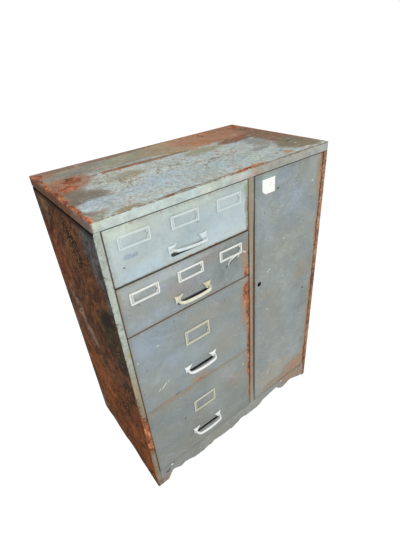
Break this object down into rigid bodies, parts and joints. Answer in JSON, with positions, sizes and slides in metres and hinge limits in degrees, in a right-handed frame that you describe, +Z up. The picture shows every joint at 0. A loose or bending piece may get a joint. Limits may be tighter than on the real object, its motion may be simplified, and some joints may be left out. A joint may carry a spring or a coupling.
{
  "type": "filing cabinet",
  "caption": "Worn steel office cabinet: card and file drawers with bow handles beside a tall locking cupboard with shelves, on a low base with bracket feet.",
  "frame": {"origin": "on the floor, midway across the width and midway between the front of the handles and the screw heads on the back", "axes": "+Z up, +X to the right seen from the front, +Y towards the back"},
  "size_m": [0.768, 0.4682, 1.016],
  "materials": {
    "top_paint": "dulled light grey-blue stove enamel with rust at the back and edges",
    "side_paint": "rusted through, pitted, with remains of grey enamel",
    "carcass_paint": "worn grey-green enamel, rust along the edges",
    "drawer_paint": "dull grey-blue enamel, rust along the gaps",
    "door_paint": "dull grey-blue enamel, rust at the lower corner",
    "inside_paint": "grey enamel, dusty",
    "handle_paint": "worn off-white paint over cast metal",
    "grey_holder_paint": "painted over with the drawer",
    "cream_holder_paint": "cream paint, chipped",
    "runner_steel": "dull rolled steel, dry grease and light rust",
    "screw_steel": "dull steel",
    "lock_metal": "blackened metal",
    "sticker_paper": "bare white paper"
  },
  "bodies": {
    "carcass": {"back_panel": "carcass_paint", "back_panel_screws": "screw_steel", "base_rail_back": "carcass_paint", "base_rail_front": "carcass_paint", "bottom_panel": "inside_paint", "cabinet_runners_1": "runner_steel", "cabinet_runners_2": "runner_steel", "cabinet_runners_3": "runner_steel", "cabinet_runners_4": "runner_steel", "centre_partition": "carcass_paint", "door_pivot_pins": "screw_steel", "door_pivot_plates": "screw_steel", "drawer_cross_rails": "inside_paint", "left_side_panel": "side_paint", "right_side_panel": "side_paint", "shelf_1": "inside_paint", "shelf_2": "inside_paint", "shelf_3": "inside_paint", "shelf_clips": "screw_steel", "shelf_standards": "screw_steel", "top_panel": "top_paint"},
    "drawer_1": {"drawer_1_dividers": "inside_paint", "drawer_1_front": "drawer_paint", "drawer_1_handle": "handle_paint", "drawer_1_handle_screws": "screw_steel", "drawer_1_label_holder_left": "grey_holder_paint", "drawer_1_label_holder_middle": "grey_holder_paint", "drawer_1_label_holder_right": "grey_holder_paint", "drawer_1_runners": "runner_steel", "drawer_1_tray": "inside_paint"},
    "drawer_2": {"drawer_2_dividers": "inside_paint", "drawer_2_front": "drawer_paint", "drawer_2_handle": "handle_paint", "drawer_2_handle_screws": "screw_steel", "drawer_2_label_holder_left": "cream_holder_paint", "drawer_2_label_holder_middle": "cream_holder_paint", "drawer_2_label_holder_right": "cream_holder_paint", "drawer_2_runners": "runner_steel", "drawer_2_tray": "inside_paint"},
    "drawer_3": {"drawer_3_front": "drawer_paint", "drawer_3_handle": "handle_paint", "drawer_3_handle_screws": "screw_steel", "drawer_3_label_holder": "cream_holder_paint", "drawer_3_runners": "runner_steel", "drawer_3_tray": "inside_paint"},
    "drawer_4": {"drawer_4_front": "drawer_paint", "drawer_4_handle": "handle_paint", "drawer_4_handle_screws": "screw_steel", "drawer_4_label_holder": "cream_holder_paint", "drawer_4_runners": "runner_steel", "drawer_4_tray": "inside_paint"},
    "slide_3": {"slide_members_3": "runner_steel"},
    "slide_4": {"slide_members_4": "runner_steel"},
    "door": {"door_panel": "door_paint", "door_inner_panel": "inside_paint", "door_pivot_blocks": "screw_steel", "door_sticker": "sticker_paper", "lock_housing": "lock_metal"},
    "lock": {"lock_plug": "lock_metal", "lock_cam": "lock_metal"}
  },
  "joints": [
    {"name": "drawer_1_slide", "type": "slide", "parent": "carcass", "child": "drawer_1", "axis": [0, -1, 0], "range_m": [0, 0.29]},
    {"name": "drawer_2_slide", "type": "slide", "parent": "carcass", "child": "drawer_2", "axis": [0, -1, 0], "range_m": [0, 0.29]},
    {"name": "drawer_3_slide", "type": "slide", "parent": "carcass", "child": "drawer_3", "axis": [0, -1, 0], "range_m": [0, 0.38]},
    {"name": "drawer_4_slide", "type": "slide", "parent": "carcass", "child": "drawer_4", "axis": [0, -1, 0], "range_m": [0, 0.38]},
    {"name": "slide_3_travel", "type": "slide", "parent": "carcass", "child": "slide_3", "axis": [0, -1, 0], "range_m": [0, 0.19]},
    {"name": "slide_4_travel", "type": "slide", "parent": "carcass", "child": "slide_4", "axis": [0, -1, 0], "range_m": [0, 0.19]},
    {"name": "door_hinge", "type": "hinge", "parent": "carcass", "child": "door", "pos_m": [0.3585, -0.20006, 0.0775], "axis": [0, 0, 1], "range_deg": [0, 105]},
    {"name": "lock_turn", "type": "hinge", "parent": "door", "child": "lock", "pos_m": [0.097, -0.20006, 0.628], "axis": [0, 1, 0], "range_deg": [0, 90]}
  ],
  "couplings": [
    {"joint": "slide_3_travel", "follows": "drawer_3_slide", "ratio": 0.5},
    {"joint": "slide_4_travel", "follows": "drawer_4_slide", "ratio": 0.5}
  ]
}
